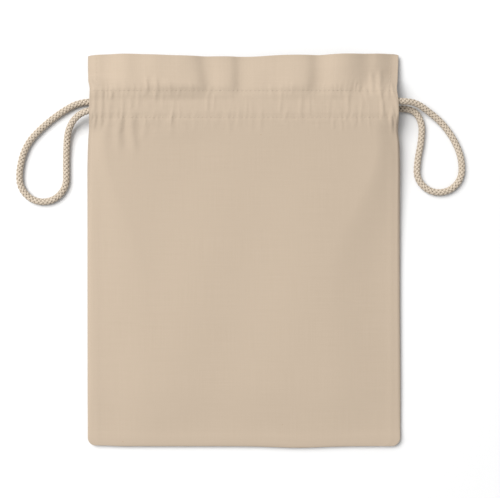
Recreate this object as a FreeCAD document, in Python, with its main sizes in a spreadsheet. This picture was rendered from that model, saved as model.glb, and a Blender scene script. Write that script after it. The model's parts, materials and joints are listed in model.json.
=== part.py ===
"""A drawstring gift sack of plain cotton, lying flat and empty on its back panel.

Frame: X runs across the sack, +Y towards its mouth, +Z up from the surface it lies on.
The origin is the centre of the back panel's underside. Lengths are in millimetres.

Front and back panels are sewn together along both sides and the bottom. Each panel's top is
turned in as a hem facing and sewn along two lines, which leaves a channel under a standing
header. Two cord loops share the channels: one comes out at the left slit and one at the right,
and each turns back round the far slit, so pulling both loops gathers the mouth.
"""
import FreeCAD
import Part
import math
import os

import Sketcher
from FreeCAD import Placement, Rotation, Vector

OUT_DIR = "parts"

SIZES = [
    ("bag_width", 250.0, "side seam to side seam"),
    ("bag_length", 314.0, "bottom seam to top edge"),
    ("corner_radius", 5.0, "rounding of the two bottom corners"),
    ("cloth_thick", 0.5, "one layer of cloth"),
    ("layer_gap", 0.3, "room between a cord and the cloth round it"),
    ("lie_gap", 0.05, "room between two layers that lie on each other"),
    ("header_depth", 30.0, "standing header, top edge to upper channel seam"),
    ("channel_depth", 21.0, "upper channel seam to lower channel seam"),
    ("facing_tail", 6.5, "facing left below the lower channel seam"),
    ("facing_inset", 15.0, "side edge to the end of the facing, open for the slit"),
    ("fold_inset", 0.8, "facing starts this far inside the top fold"),
    ("channel_wall", 3.7, "run of the facing's sloping wall beside a channel seam"),
    ("mouth_gap", 4.8, "open height between the two facings"),
    ("cord_diameter", 5.5, "braided cotton cord"),
    ("left_cord_spread", 7.5, "across the channel between the left cord's front and back runs"),
    ("right_cord_spread", 5.8, "the same for the right cord"),
    ("run_end", 116.5, "where the free loop leaves the channel run"),
    ("return_start", 110.8, "where the cord starts to turn back at the far slit"),
    ("splice_length", 14.0, "thread whipping over the butted cord ends"),
    ("splice_thick", 0.2, "thickness of the whipping"),
    ("splice_place", 60.0, "whipping's nearer end, from the middle of the sack"),
    ("seam_width", 9.0, "sewn and overlocked seam allowance inside the sack"),
    ("seam_thick", 1.0, "allowance of two turned layers"),
    ("seam_floor", 1.1, "underside of an allowance"),
    ("slit_depth", 67.0, "top edge to the foot of the side slit"),
    ("edge_height", 2.7, "underside of the front panel where it is sewn"),
    ("seam_height", 17.0, "underside of the front panel at the channel seams"),
    ("mouth_height", 12.8, "underside of the front panel at the top edge"),
    ("toe_height", 6.8, "underside of the front panel near the bottom"),
    ("belly_height", 9.6, "underside of the front panel halfway up"),
    ("chest_height", 12.6, "underside of the front panel below the channel"),
    ("shoulder", 14.0, "width over which the front panel comes down to a side"),
    ("thread_diameter", 0.5, "sewing thread"),
    ("thread_gap", 0.05, "room between a thread and the cloth it lies on"),
    ("overlock_width", 5.0, "overlock thread across the allowance"),
    ("overlock_thick", 0.3, "overlock thread above the allowance"),
    ("tack_length", 7.0, "bar tack at the foot of a slit"),
    ("tack_width", 1.8, "bar tack across its thread"),
    ("tack_height", 0.7, "bar tack above the seam"),
]

# Control points of the two free loops, from the front channel round to the back channel. A loop
# drops from the raised front channel to the table, hangs round in a bend and goes back in.
LEFT_ROUTE = [
    (-116.5, 112.75, 15.45),
    (-125.4, 112.8, 15.1),
    (-135.4, 107.9, 12.0),
    (-141.8, 96.9, 7.6),
    (-143.0, 82.4, 4.0),
    (-143.2, 67.0, 2.9),
    (-143.0, 50.8, 2.85),
    (-154.0, 39.6, 2.85),
    (-169.6, 39.5, 2.85),
    (-180.7, 50.6, 2.85),
    (-181.0, 67.2, 2.85),
    (-175.2, 86.2, 2.85),
    (-161.4, 100.8, 2.85),
    (-144.8, 113.2, 2.9),
    (-130.5, 120.3, 3.3),
    (-116.5, 120.25, 3.55),
]
RIGHT_ROUTE = [
    (116.5, 119.4, 15.45),
    (126.0, 119.5, 15.1),
    (137.5, 118.4, 12.2),
    (149.5, 110.6, 7.0),
    (160.2, 102.4, 3.6),
    (169.8, 89.2, 2.85),
    (175.7, 74.4, 2.85),
    (175.7, 57.9, 2.85),
    (165.0, 47.2, 2.85),
    (149.8, 47.1, 2.85),
    (139.1, 57.9, 2.85),
    (139.9, 73.1, 2.85),
    (143.1, 87.8, 2.85),
    (143.7, 104.6, 2.85),
    (131.9, 115.4, 3.2),
    (116.5, 113.6, 3.55),
]
ARC_SHARE = 0.45  # an arc uses this share of the shorter run at each side of its point

doc = FreeCAD.newDocument("GiftSack")
sizes = doc.addObject("Spreadsheet::Sheet", "Sizes")
for row, (alias, value, meaning) in enumerate(SIZES, start=1):
    sizes.set(f"A{row}", str(value))
    sizes.setAlias(f"A{row}", alias)
    sizes.set(f"B{row}", meaning)
doc.recompute()

made = []  # every sub-part, in the order it is built


def size(alias):
    """A driving dimension, as a number."""
    return float(getattr(sizes, alias))


HALF_WIDTH = size("bag_width") / 2
HALF_LENGTH = size("bag_length") / 2
THICK = size("cloth_thick")
UPPER_SEAM = HALF_LENGTH - size("header_depth")
LOWER_SEAM = UPPER_SEAM - size("channel_depth")
CHANNEL_MIDDLE = (UPPER_SEAM + LOWER_SEAM) / 2
CORD_RADIUS = size("cord_diameter") / 2
BACK_CORD_Z = THICK + size("layer_gap") + CORD_RADIUS
BACK_FACING_Z = BACK_CORD_Z + CORD_RADIUS + size("layer_gap")
FRONT_FACING_Z = BACK_FACING_Z + THICK + size("mouth_gap")
FRONT_CORD_Z = FRONT_FACING_Z + THICK + size("layer_gap") + CORD_RADIUS
CHANNEL_TOP = FRONT_CORD_Z + CORD_RADIUS + size("layer_gap")
SLIT_FOOT = HALF_LENGTH - size("slit_depth")


def keep(label, thing):
    """Names a sub-part and puts it on the list that is written out."""
    thing.Label = label
    made.append(thing)
    return thing


def solid_feature(label, shape):
    """A sub-part whose shape is worked out in code."""
    feature = doc.addObject("Part::Feature", label)
    feature.Shape = shape
    return keep(label, feature)


def bind(thing, **expressions):
    """Ties properties of an object to the sheet; a double underscore stands for a dot."""
    for name, expression in expressions.items():
        thing.setExpression(name.replace("__", "."), expression)
    return thing


def body_sketch(body, role, name):
    """An empty sketch on one of a body's own origin planes."""
    sketch = body.newObject("Sketcher::SketchObject", name)
    plane = [f for f in body.Origin.OriginFeatures if f.Role == role][0]
    sketch.AttachmentSupport = [(plane, "")]
    sketch.MapMode = "FlatFace"
    return sketch


def closed_outline(sketch, corners):
    """Straight lines through corners, each a pair of expressions in the sheet's aliases."""
    points = [
        Vector(float(sketch.evalExpression(x)), float(sketch.evalExpression(y)), 0)
        for x, y in corners
    ]
    for number, point in enumerate(points):
        sketch.addGeometry(Part.LineSegment(point, points[(number + 1) % len(points)]))
    for number in range(len(points)):
        following = (number + 1) % len(points)
        sketch.addConstraint(Sketcher.Constraint("Coincident", number, 2, following, 1))
    for number, (x, y) in enumerate(corners):
        for kind, expression, place in (
            ("DistanceX", x, points[number].x),
            ("DistanceY", y, points[number].y),
        ):
            index = sketch.addConstraint(
                Sketcher.Constraint(kind, -1, 1, number, 1, place)
            )
            sketch.renameConstraint(index, f"{kind}_{number}")
            sketch.setExpression(f"Constraints.{kind}_{number}", expression)


def pad(body, sketch, name, expression, symmetric=False):
    """Pads a sketch by a length from the sheet."""
    feature = body.newObject("PartDesign::Pad", name)
    feature.Profile = sketch
    feature.setExpression("Length", expression)
    feature.Midplane = symmetric
    sketch.Visibility = False
    return feature


def smooth(share):
    """0 to 1 with level ends."""
    share = min(1.0, max(0.0, share))
    return share * share * (3 - 2 * share)


# ---------------------------------------------------------------- cloth


def back_panel():
    """The cloth that lies on the table."""
    body = doc.addObject("PartDesign::Body", "BackPanel")
    sketch = body_sketch(body, "XY_Plane", "BackOutline")
    half_x, half_y = "Sizes.bag_width / 2", "Sizes.bag_length / 2"
    corners = [
        (f"-({half_x})", f"-({half_y})"),
        (half_x, f"-({half_y})"),
        (half_x, half_y),
        (f"-({half_x})", half_y),
    ]
    closed_outline(sketch, corners)
    cloth = pad(body, sketch, "BackCloth", "Sizes.cloth_thick")
    doc.recompute()
    bottom_corners = [
        f"Edge{number}"
        for number, edge in enumerate(cloth.Shape.Edges, start=1)
        if abs(edge.BoundBox.ZLength - THICK) < 1e-6
        and edge.CenterOfMass.y < 0
    ]
    rounding = body.newObject("PartDesign::Fillet", "BackCorners")
    rounding.Base = (cloth, bottom_corners)
    rounding.setExpression("Radius", "Sizes.corner_radius")
    keep("back_panel", body)


def front_height(y):
    """Height of the front panel's underside up the middle of the sack."""
    flat = size("left_cord_spread") / 2 + CORD_RADIUS
    places = [
        (-HALF_LENGTH, size("edge_height")),
        (-HALF_LENGTH + 25.0, size("toe_height")),
        (0.0, size("belly_height")),
        (60.0, size("chest_height")),
        (LOWER_SEAM, size("seam_height")),
        (CHANNEL_MIDDLE - flat, CHANNEL_TOP),
        (CHANNEL_MIDDLE + flat, CHANNEL_TOP),
        (UPPER_SEAM, size("seam_height")),
        (HALF_LENGTH, size("mouth_height")),
    ]
    for (low, start), (high, end) in zip(places, places[1:]):
        if y <= high:
            share = (y - low) / (high - low)
            if low == -HALF_LENGTH:
                return start + (end - start) * math.sin(share * math.pi / 2)
            return start + (end - start) * share
    return places[-1][1]


def front_underside(x, y):
    """The front panel comes down to its side seams below the slits, and stays up above them."""
    share = (HALF_WIDTH - abs(x)) / size("shoulder")
    sewn = smooth(share)
    free = smooth((y - SLIT_FOOT + 8.0) / 18.0)
    edge = size("edge_height")
    return edge + (front_height(y) - edge) * (sewn + (1 - sewn) * free)


def end_mults(count, degree):
    """Knot multiplicities of a spline that reaches its first and last pole."""
    return [degree + 1] + [1] * (count - degree - 1) + [degree + 1]


def front_panel():
    """The upper cloth, one curved sheet from the bottom seam to the top edge."""
    across, along, degree = 51, 121, 3
    grid = []
    for i in range(across):
        x = -HALF_WIDTH + 2 * HALF_WIDTH * i / (across - 1)
        column = []
        for j in range(along):
            y = -HALF_LENGTH + 2 * HALF_LENGTH * j / (along - 1)
            column.append(Vector(x, y, front_underside(x, y)))
        grid.append(column)
    surface = Part.BSplineSurface()
    surface.buildFromPolesMultsKnots(
        grid, end_mults(across, degree), end_mults(along, degree),
        udegree=degree, vdegree=degree,
    )
    sheet = surface.toShape().extrude(Vector(0, 0, THICK))
    solid_feature("front_panel", sheet)


def facing(label, header, trough, tail):
    """A panel's top turned in: header, the way round the cords, and a tail below the seam.

    header, trough and tail are expressions for the height of the cloth's underside: a pair for
    the header, from the fold to the upper seam, one for the trough and a pair for the tail.
    """
    body = doc.addObject("PartDesign::Body", "Body_" + label)
    sketch = body_sketch(body, "YZ_Plane", "Profile_" + label)
    top = "Sizes.bag_length / 2 - Sizes.fold_inset"
    upper = "Sizes.bag_length / 2 - Sizes.header_depth"
    lower = f"{upper} - Sizes.channel_depth"
    path = [
        (top, header[0]),
        (f"{upper} + 1", header[1]),
        (f"{upper} + 1 - Sizes.channel_wall", trough),
        (f"{lower} - 1 + Sizes.channel_wall", trough),
        (f"{lower} - 1", tail[0]),
        (f"{lower} - Sizes.facing_tail", tail[1]),
    ]
    above = [(y, f"{z} + Sizes.cloth_thick") for y, z in reversed(path)]
    closed_outline(sketch, path + above)
    width = "Sizes.bag_width - 2 * Sizes.facing_inset"
    pad(body, sketch, "Cloth_" + label, width, symmetric=True)
    keep(label, body)


def back_hem_facing():
    lying = "Sizes.cloth_thick + Sizes.lie_gap"
    over = "Sizes.cloth_thick + 2 * Sizes.layer_gap + Sizes.cord_diameter"
    facing("back_hem_facing", (lying, lying), over, (lying, lying))


def front_hem_facing():
    over = "Sizes.cloth_thick + 2 * Sizes.layer_gap + Sizes.cord_diameter"
    under = f"{over} + Sizes.cloth_thick + Sizes.mouth_gap"
    down = "(Sizes.cloth_thick + 5 * Sizes.lie_gap)"
    header = (f"Sizes.mouth_height - {down}", f"Sizes.seam_height - 0.2 - {down}")
    tail = (f"Sizes.seam_height - 0.2 - {down}", f"Sizes.seam_height - 0.9 - {down}")
    facing("front_hem_facing", header, under, tail)


def seam_allowance(label, length, width, x, y):
    """A turned and overlocked allowance, a flat strip between the panels."""
    strip = doc.addObject("Part::Box", label)
    bind(strip, Length=length, Width=width, Height="Sizes.seam_thick")
    bind(strip, Placement__Base__x=x, Placement__Base__y=y)
    bind(strip, Placement__Base__z="Sizes.seam_floor")
    keep(label, strip)


def seam_allowances():
    start = "-Sizes.bag_length / 2 + Sizes.seam_width"
    long_side = "Sizes.bag_length - Sizes.slit_depth - Sizes.seam_width"
    left = "-Sizes.bag_width / 2"
    right = "Sizes.bag_width / 2 - Sizes.seam_width"
    seam_allowance("left_side_seam_allowance", "Sizes.seam_width", long_side, left, start)
    seam_allowance("right_side_seam_allowance", "Sizes.seam_width", long_side, right, start)
    wide = "Sizes.bag_width - 4 * Sizes.seam_width"
    from_left = "-Sizes.bag_width / 2 + 2 * Sizes.seam_width"
    bottom = "-Sizes.bag_length / 2"
    seam_allowance("bottom_seam_allowance", wide, "Sizes.seam_width", from_left, bottom)


# ---------------------------------------------------------------- thread


def straight_thread(label, start, end):
    """One row of sewing thread, drawn as a straight run between two points."""
    thread = doc.addObject("Part::Cylinder", label)
    bind(thread, Radius="Sizes.thread_diameter / 2")
    thread.Height = (end - start).Length
    thread.Placement = Placement(start, Rotation(Vector(0, 0, 1), end - start))
    keep(label, thread)


def front_top(x, y):
    """A thread's height over the front panel at a place on it."""
    upright = Part.makeLine(Vector(x, y, -5), Vector(x, y, 40))
    struck = upright.common(doc.getObject("front_panel").Shape)
    return struck.BoundBox.ZMax + size("thread_gap") + size("thread_diameter") / 2


def channel_stitching():
    """Two rows hold each facing to its panel, on either side of the cords."""
    half_span = HALF_WIDTH - size("facing_inset")
    over = size("thread_gap") + size("thread_diameter") / 2
    back_top = 2 * THICK + size("lie_gap") + over
    for level, y in (("upper", UPPER_SEAM), ("lower", LOWER_SEAM)):
        z = front_top(0, y)
        start, end = Vector(-half_span, y, z), Vector(half_span, y, z)
        straight_thread(f"front_{level}_channel_stitching", start, end)
        offset = 2.0 if level == "upper" else -2.0
        start, end = Vector(-half_span, y + offset, back_top), Vector(half_span, y + offset, back_top)
        straight_thread(f"back_{level}_channel_stitching", start, end)


def slit_stitching():
    """Each panel's edges beside the slits are hemmed, with one row of thread on each."""
    inset = size("seam_width") * 0.6
    low, high = UPPER_SEAM + 2.0, HALF_LENGTH - 2.0
    for side, sign in (("left", -1), ("right", 1)):
        x = sign * (HALF_WIDTH - inset)
        start = Vector(x, low, front_top(x, low) + 0.3)
        end = Vector(x, high, front_top(x, high) + 0.3)
        straight_thread(f"front_{side}_slit_stitching", start, end)
        z = THICK + size("thread_gap") + size("thread_diameter") / 2
        straight_thread(f"back_{side}_slit_stitching", Vector(x, low, z), Vector(x, high, z))


def overlock(label, length, width, x, y):
    """The looped threads over an allowance's raw edge, a thin band on its top."""
    band = doc.addObject("Part::Box", label)
    bind(band, Length=length, Width=width, Height="Sizes.overlock_thick")
    bind(band, Placement__Base__x=x, Placement__Base__y=y)
    top = "Sizes.seam_floor + Sizes.seam_thick + Sizes.thread_gap"
    bind(band, Placement__Base__z=top)
    keep(label, band)


def seam_stitching():
    """The row that closes each seam, and the overlock over its raw edge."""
    low = -HALF_LENGTH + size("seam_width")
    z = size("seam_floor") - size("thread_gap") - size("thread_diameter") / 2
    start = "-Sizes.bag_length / 2 + Sizes.seam_width + 1"
    long_side = "Sizes.bag_length - Sizes.slit_depth - Sizes.seam_width - 2"
    inner = "(Sizes.seam_width - Sizes.overlock_width - 0.2)"
    for side, sign in (("left", -1), ("right", 1)):
        x = sign * (HALF_WIDTH - 1.5)
        stretch = (Vector(x, low + 1, z), Vector(x, SLIT_FOOT - 1, z))
        straight_thread(f"{side}_side_seam_stitching", *stretch)
    left = f"-Sizes.bag_width / 2 + {inner}"
    right = f"Sizes.bag_width / 2 - {inner} - Sizes.overlock_width"
    overlock("left_side_overlock", "Sizes.overlock_width", long_side, left, start)
    overlock("right_side_overlock", "Sizes.overlock_width", long_side, right, start)
    wide = "Sizes.bag_width - 4 * Sizes.seam_width - 2"
    from_left = "-Sizes.bag_width / 2 + 2 * Sizes.seam_width + 1"
    up = f"-Sizes.bag_length / 2 + {inner}"
    overlock("bottom_overlock", wide, "Sizes.overlock_width", from_left, up)
    half_span = HALF_WIDTH - 2 * size("seam_width") - 1
    y = -HALF_LENGTH + 1.5
    straight_thread("bottom_seam_stitching", Vector(-half_span, y, z), Vector(half_span, y, z))


def bar_tacks():
    """A dense thread bar across each side seam at the foot of its slit."""
    for side in ("left", "right"):
        block = doc.addObject("Part::Box", f"{side}_tack_block")
        bind(block, Length="Sizes.tack_length", Width="Sizes.tack_width")
        bind(block, Height="Sizes.tack_height")
        doc.recompute()
        tack = doc.addObject("Part::Fillet", f"{side}_slit_bar_tack")
        tack.Base = block
        tack.Edges = [(number, 0.3, 0.3) for number in (2, 4, 6, 8, 10, 12)
                      if number <= len(block.Shape.Edges)]
        x = "-Sizes.bag_width / 2 + 0.5"
        if side == "right":
            x = "Sizes.bag_width / 2 - 0.5 - Sizes.tack_length"
        y = "Sizes.bag_length / 2 - Sizes.slit_depth + 0.2"
        bind(tack, Placement__Base__x=x, Placement__Base__y=y)
        bind(tack, Placement__Base__z="Sizes.seam_floor + 0.1")
        keep(f"{side}_slit_bar_tack", tack)


# ---------------------------------------------------------------- cords


def channel_run(label, side, row, level):
    """A straight stretch of cord inside a channel, from its own slit to the far one."""
    run = doc.addObject("Part::Cylinder", label)
    bind(run, Radius="Sizes.cord_diameter / 2", Height="Sizes.run_end + Sizes.return_start")
    run.Placement = Placement(Vector(0, 0, 0), Rotation(Vector(0, 1, 0), 90))
    middle = "Sizes.bag_length / 2 - Sizes.header_depth - Sizes.channel_depth / 2"
    start = "-Sizes.run_end" if side == "left" else "-Sizes.return_start"
    bind(run, Placement__Base__x=start)
    bind(run, Placement__Base__y=f"{middle} + {row} * Sizes.{side}_cord_spread / 2")
    low = "Sizes.cloth_thick + Sizes.layer_gap + Sizes.cord_diameter / 2"
    high = f"{low} + Sizes.cord_diameter + 2 * Sizes.layer_gap + 2 * Sizes.cloth_thick"
    bind(run, Placement__Base__z=low if level == "back" else f"{high} + Sizes.mouth_gap")
    keep(label, run)


def far_return(label, side, front_row):
    """The cord turning back round the far slit, half a ring between its two channel runs."""
    half_spread = size(f"{side}_cord_spread") / 2
    front = Vector(0, front_row * half_spread, FRONT_CORD_Z)
    back = Vector(0, -front_row * half_spread, BACK_CORD_Z)
    outward = Vector(1 if side == "left" else -1, 0, 0)
    spread = (front - back).normalize()
    ring = doc.addObject("Part::Torus", label)
    ring.Radius1 = (front - back).Length / 2
    bind(ring, Radius2="Sizes.cord_diameter / 2")
    ring.Angle3 = 180
    # the half ring starts on its own X axis and turns about its own Z axis
    turn = Rotation(spread * -1, outward, spread.cross(outward) * -1, "XYZ")
    middle = (front + back) / 2
    place = Vector(outward.x * size("return_start"), CHANNEL_MIDDLE + middle.y, middle.z)
    ring.Placement = Placement(place, turn)
    keep(label, ring)


def splice(label, side, row):
    """Thread whipped over the two butted ends of a cord, on its back run."""
    body = doc.addObject("PartDesign::Body", "Body_" + label)
    sketch = body_sketch(body, "YZ_Plane", "Ring_" + label)
    middle = "Sizes.bag_length / 2 - Sizes.header_depth - Sizes.channel_depth / 2"
    y = f"{middle} + {row} * Sizes.{side}_cord_spread / 2"
    z = "Sizes.cloth_thick + Sizes.layer_gap + Sizes.cord_diameter / 2"
    centre = Vector(float(sketch.evalExpression(y)), float(sketch.evalExpression(z)), 0)
    normal = Vector(0, 0, 1)
    inner = sketch.addGeometry(Part.Circle(centre, normal, CORD_RADIUS))
    outer = sketch.addGeometry(Part.Circle(centre, normal, CORD_RADIUS + size("splice_thick")))
    rules = [
        ("Across", Sketcher.Constraint("DistanceX", -1, 1, inner, 3, centre.x), y),
        ("Up", Sketcher.Constraint("DistanceY", -1, 1, inner, 3, centre.y), z),
        ("Inner", Sketcher.Constraint("Radius", inner, CORD_RADIUS), "Sizes.cord_diameter / 2"),
        ("Outer", Sketcher.Constraint("Radius", outer, CORD_RADIUS + size("splice_thick")),
         "Sizes.cord_diameter / 2 + Sizes.splice_thick"),
    ]
    sketch.addConstraint(Sketcher.Constraint("Coincident", inner, 3, outer, 3))
    for name, rule, expression in rules:
        sketch.renameConstraint(sketch.addConstraint(rule), name)
        sketch.setExpression(f"Constraints.{name}", expression)
    pad(body, sketch, "Whipping_" + label, "Sizes.splice_length")
    place = "Sizes.splice_place" if side == "left" else "-Sizes.splice_place - Sizes.splice_length"
    bind(body, Placement__Base__x=place)
    keep(label, body)


def rounded_path(points):
    """Runs between the points joined by tangent arcs, as a wire, with the arcs' radii."""
    edges, radii, start = [], [], points[0]
    for before, corner, after in zip(points, points[1:], points[2:]):
        back, ahead = before - corner, after - corner
        trim = ARC_SHARE * min(back.Length, ahead.Length)
        half_turn = (math.pi - back.getAngle(ahead)) / 2
        radius = trim / math.tan(half_turn)
        radii.append(radius)
        enter = corner + back.normalize() * trim
        leave = corner + ahead.normalize() * trim
        inward = (back + ahead).normalize()
        centre = corner + inward * (radius / math.cos(half_turn))
        edges.append(Part.LineSegment(start, enter).toShape())
        edges.append(Part.Arc(enter, centre - inward * radius, leave).toShape())
        start = leave
    edges.append(Part.LineSegment(start, points[-1]).toShape())
    return Part.Wire(edges), radii


def free_loop(label, route):
    """The cord outside the sack, a plain tube along its route."""
    points = [Vector(*point) for point in route]
    path, radii = rounded_path(points)
    heading = points[1] - points[0]
    ring = Part.Wire(Part.makeCircle(CORD_RADIUS, points[0], heading))
    tube = path.makePipeShell([ring], True, True)
    expected = math.pi * CORD_RADIUS**2 * path.Length
    print(f"{label}: length {path.Length:.1f}, volume / expected {tube.Volume / expected:.4f}")
    print("   arc radii", " ".join(f"{radius:.1f}" for radius in radii))
    solid_feature(label, tube)


def cords():
    """Each cord takes one place in the front channel and the other in the back one."""
    for side, front_row, route in (("left", -1, LEFT_ROUTE), ("right", 1, RIGHT_ROUTE)):
        channel_run(f"{side}_cord_front_run", side, front_row, "front")
        channel_run(f"{side}_cord_back_run", side, -front_row, "back")
        far_return(f"{side}_cord_return", side, front_row)
        splice(f"{side}_cord_splice", side, -front_row)
        free_loop(f"{side}_cord_loop", route)


def write_parts():
    """Checks every object and sub-part, then writes one STEP file for each sub-part."""
    doc.recompute()
    for thing in doc.Objects:
        if {"Invalid", "Error"} & set(thing.State):
            raise RuntimeError(f"{thing.Label} failed: {thing.State}")
    os.makedirs(OUT_DIR, exist_ok=True)
    for thing in made:
        shape = thing.Shape
        if shape.isNull() or not shape.isValid() or not shape.Solids:
            raise RuntimeError(f"{thing.Label} is not a valid solid")
        shape.exportStep(os.path.join(OUT_DIR, thing.Label + ".step"))
        box = shape.BoundBox
        print(
            f"{thing.Label}: {len(shape.Solids)} solids, {shape.Volume:.1f} mm3, "
            f"x {box.XMin:.2f} {box.XMax:.2f}, y {box.YMin:.2f} {box.YMax:.2f}, "
            f"z {box.ZMin:.2f} {box.ZMax:.2f}"
        )


back_panel()
front_panel()
back_hem_facing()
front_hem_facing()
seam_allowances()
channel_stitching()
slit_stitching()
seam_stitching()
bar_tacks()
cords()
write_parts()
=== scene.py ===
"""The looks of a flat cotton drawstring gift sack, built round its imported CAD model.

Each panel is one sheet of cloth: outer panel, top fold and inner facing. It is cut at the middle
so that each half can follow its own side as the mouth is gathered. Lengths are in millimetres
up to add_mesh, which makes metres.
"""
import json
import math

import bpy
import numpy as np
from mathutils import Vector
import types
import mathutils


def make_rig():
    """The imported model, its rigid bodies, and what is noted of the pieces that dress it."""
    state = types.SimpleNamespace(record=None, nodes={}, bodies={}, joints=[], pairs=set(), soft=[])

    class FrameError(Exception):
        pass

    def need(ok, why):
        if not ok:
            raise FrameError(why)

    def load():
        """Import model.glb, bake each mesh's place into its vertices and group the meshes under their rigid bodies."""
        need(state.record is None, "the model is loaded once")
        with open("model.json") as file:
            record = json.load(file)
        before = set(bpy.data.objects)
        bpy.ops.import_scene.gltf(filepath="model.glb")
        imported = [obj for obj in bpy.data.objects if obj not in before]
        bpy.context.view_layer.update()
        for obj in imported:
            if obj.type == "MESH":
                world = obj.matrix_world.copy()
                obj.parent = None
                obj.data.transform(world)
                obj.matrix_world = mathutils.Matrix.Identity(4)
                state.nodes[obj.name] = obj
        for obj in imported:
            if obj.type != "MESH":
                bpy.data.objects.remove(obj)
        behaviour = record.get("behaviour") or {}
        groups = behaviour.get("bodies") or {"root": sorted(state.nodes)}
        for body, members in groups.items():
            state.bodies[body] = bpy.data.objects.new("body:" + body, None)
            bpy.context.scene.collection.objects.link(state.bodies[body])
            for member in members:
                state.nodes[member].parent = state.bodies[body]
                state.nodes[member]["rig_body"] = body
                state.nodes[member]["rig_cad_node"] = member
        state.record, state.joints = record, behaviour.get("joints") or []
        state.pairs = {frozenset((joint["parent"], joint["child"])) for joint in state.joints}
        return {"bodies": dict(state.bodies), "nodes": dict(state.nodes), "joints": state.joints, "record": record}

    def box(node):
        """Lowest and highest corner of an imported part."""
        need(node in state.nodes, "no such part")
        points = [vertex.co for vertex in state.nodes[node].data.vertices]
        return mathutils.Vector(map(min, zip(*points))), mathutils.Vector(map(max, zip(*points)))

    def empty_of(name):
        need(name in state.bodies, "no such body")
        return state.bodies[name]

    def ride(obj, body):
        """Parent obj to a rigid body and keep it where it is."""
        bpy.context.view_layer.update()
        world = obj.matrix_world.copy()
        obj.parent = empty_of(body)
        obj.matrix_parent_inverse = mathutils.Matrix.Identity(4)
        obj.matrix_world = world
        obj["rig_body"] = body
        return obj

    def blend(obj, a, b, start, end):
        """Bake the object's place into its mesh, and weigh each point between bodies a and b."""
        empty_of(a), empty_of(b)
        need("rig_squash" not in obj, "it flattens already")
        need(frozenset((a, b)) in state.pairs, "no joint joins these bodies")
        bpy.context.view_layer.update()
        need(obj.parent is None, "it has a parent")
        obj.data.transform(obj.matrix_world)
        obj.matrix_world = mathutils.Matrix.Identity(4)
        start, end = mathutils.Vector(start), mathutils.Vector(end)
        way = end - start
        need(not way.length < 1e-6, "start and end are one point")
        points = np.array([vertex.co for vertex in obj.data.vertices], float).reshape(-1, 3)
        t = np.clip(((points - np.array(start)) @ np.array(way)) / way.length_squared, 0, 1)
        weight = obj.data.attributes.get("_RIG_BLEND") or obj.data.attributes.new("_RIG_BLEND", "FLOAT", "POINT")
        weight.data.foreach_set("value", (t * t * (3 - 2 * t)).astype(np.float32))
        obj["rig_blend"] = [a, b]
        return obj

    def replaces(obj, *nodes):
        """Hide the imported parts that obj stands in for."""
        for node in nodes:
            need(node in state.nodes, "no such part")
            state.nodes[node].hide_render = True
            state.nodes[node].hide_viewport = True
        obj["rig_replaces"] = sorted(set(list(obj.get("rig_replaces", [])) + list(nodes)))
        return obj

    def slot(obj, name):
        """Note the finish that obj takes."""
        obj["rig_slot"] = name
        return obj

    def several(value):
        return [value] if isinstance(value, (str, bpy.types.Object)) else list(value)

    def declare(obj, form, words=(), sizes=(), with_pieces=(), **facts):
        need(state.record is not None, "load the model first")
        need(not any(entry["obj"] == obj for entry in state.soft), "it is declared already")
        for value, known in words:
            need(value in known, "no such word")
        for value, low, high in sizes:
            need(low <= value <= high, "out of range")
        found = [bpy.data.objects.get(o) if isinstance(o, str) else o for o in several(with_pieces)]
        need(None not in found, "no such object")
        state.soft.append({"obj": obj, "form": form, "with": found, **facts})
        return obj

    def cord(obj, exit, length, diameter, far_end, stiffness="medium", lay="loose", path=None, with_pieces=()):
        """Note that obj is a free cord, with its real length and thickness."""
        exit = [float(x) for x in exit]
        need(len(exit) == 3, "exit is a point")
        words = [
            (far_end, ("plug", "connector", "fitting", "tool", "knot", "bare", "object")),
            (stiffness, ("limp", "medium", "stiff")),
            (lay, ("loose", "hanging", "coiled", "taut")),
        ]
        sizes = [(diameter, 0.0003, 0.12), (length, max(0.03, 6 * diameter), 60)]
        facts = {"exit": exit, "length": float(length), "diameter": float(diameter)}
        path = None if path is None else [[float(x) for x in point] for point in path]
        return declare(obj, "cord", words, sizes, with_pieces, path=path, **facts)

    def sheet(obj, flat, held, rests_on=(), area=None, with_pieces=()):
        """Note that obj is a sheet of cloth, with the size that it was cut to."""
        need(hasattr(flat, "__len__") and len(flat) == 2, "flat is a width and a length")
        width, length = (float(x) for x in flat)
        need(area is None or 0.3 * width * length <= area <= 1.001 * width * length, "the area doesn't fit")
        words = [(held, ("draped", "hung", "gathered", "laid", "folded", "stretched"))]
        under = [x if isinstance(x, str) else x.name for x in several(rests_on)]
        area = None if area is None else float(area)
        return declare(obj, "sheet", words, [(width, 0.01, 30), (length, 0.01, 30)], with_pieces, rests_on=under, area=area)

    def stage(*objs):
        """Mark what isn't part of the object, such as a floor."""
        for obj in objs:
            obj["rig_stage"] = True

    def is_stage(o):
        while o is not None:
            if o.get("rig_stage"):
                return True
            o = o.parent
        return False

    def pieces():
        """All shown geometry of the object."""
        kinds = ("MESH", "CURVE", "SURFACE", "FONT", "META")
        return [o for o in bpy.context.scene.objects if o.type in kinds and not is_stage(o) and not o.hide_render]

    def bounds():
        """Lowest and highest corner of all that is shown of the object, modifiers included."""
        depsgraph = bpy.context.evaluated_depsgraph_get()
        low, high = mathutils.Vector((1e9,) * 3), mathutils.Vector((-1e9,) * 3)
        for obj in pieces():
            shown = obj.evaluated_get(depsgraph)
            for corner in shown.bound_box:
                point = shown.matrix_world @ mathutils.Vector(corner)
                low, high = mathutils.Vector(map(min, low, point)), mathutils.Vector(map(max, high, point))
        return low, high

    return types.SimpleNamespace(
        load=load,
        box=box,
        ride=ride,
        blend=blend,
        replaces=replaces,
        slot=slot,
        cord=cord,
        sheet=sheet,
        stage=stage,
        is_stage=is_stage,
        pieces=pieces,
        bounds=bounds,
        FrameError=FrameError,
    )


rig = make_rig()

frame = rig.load()
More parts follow.
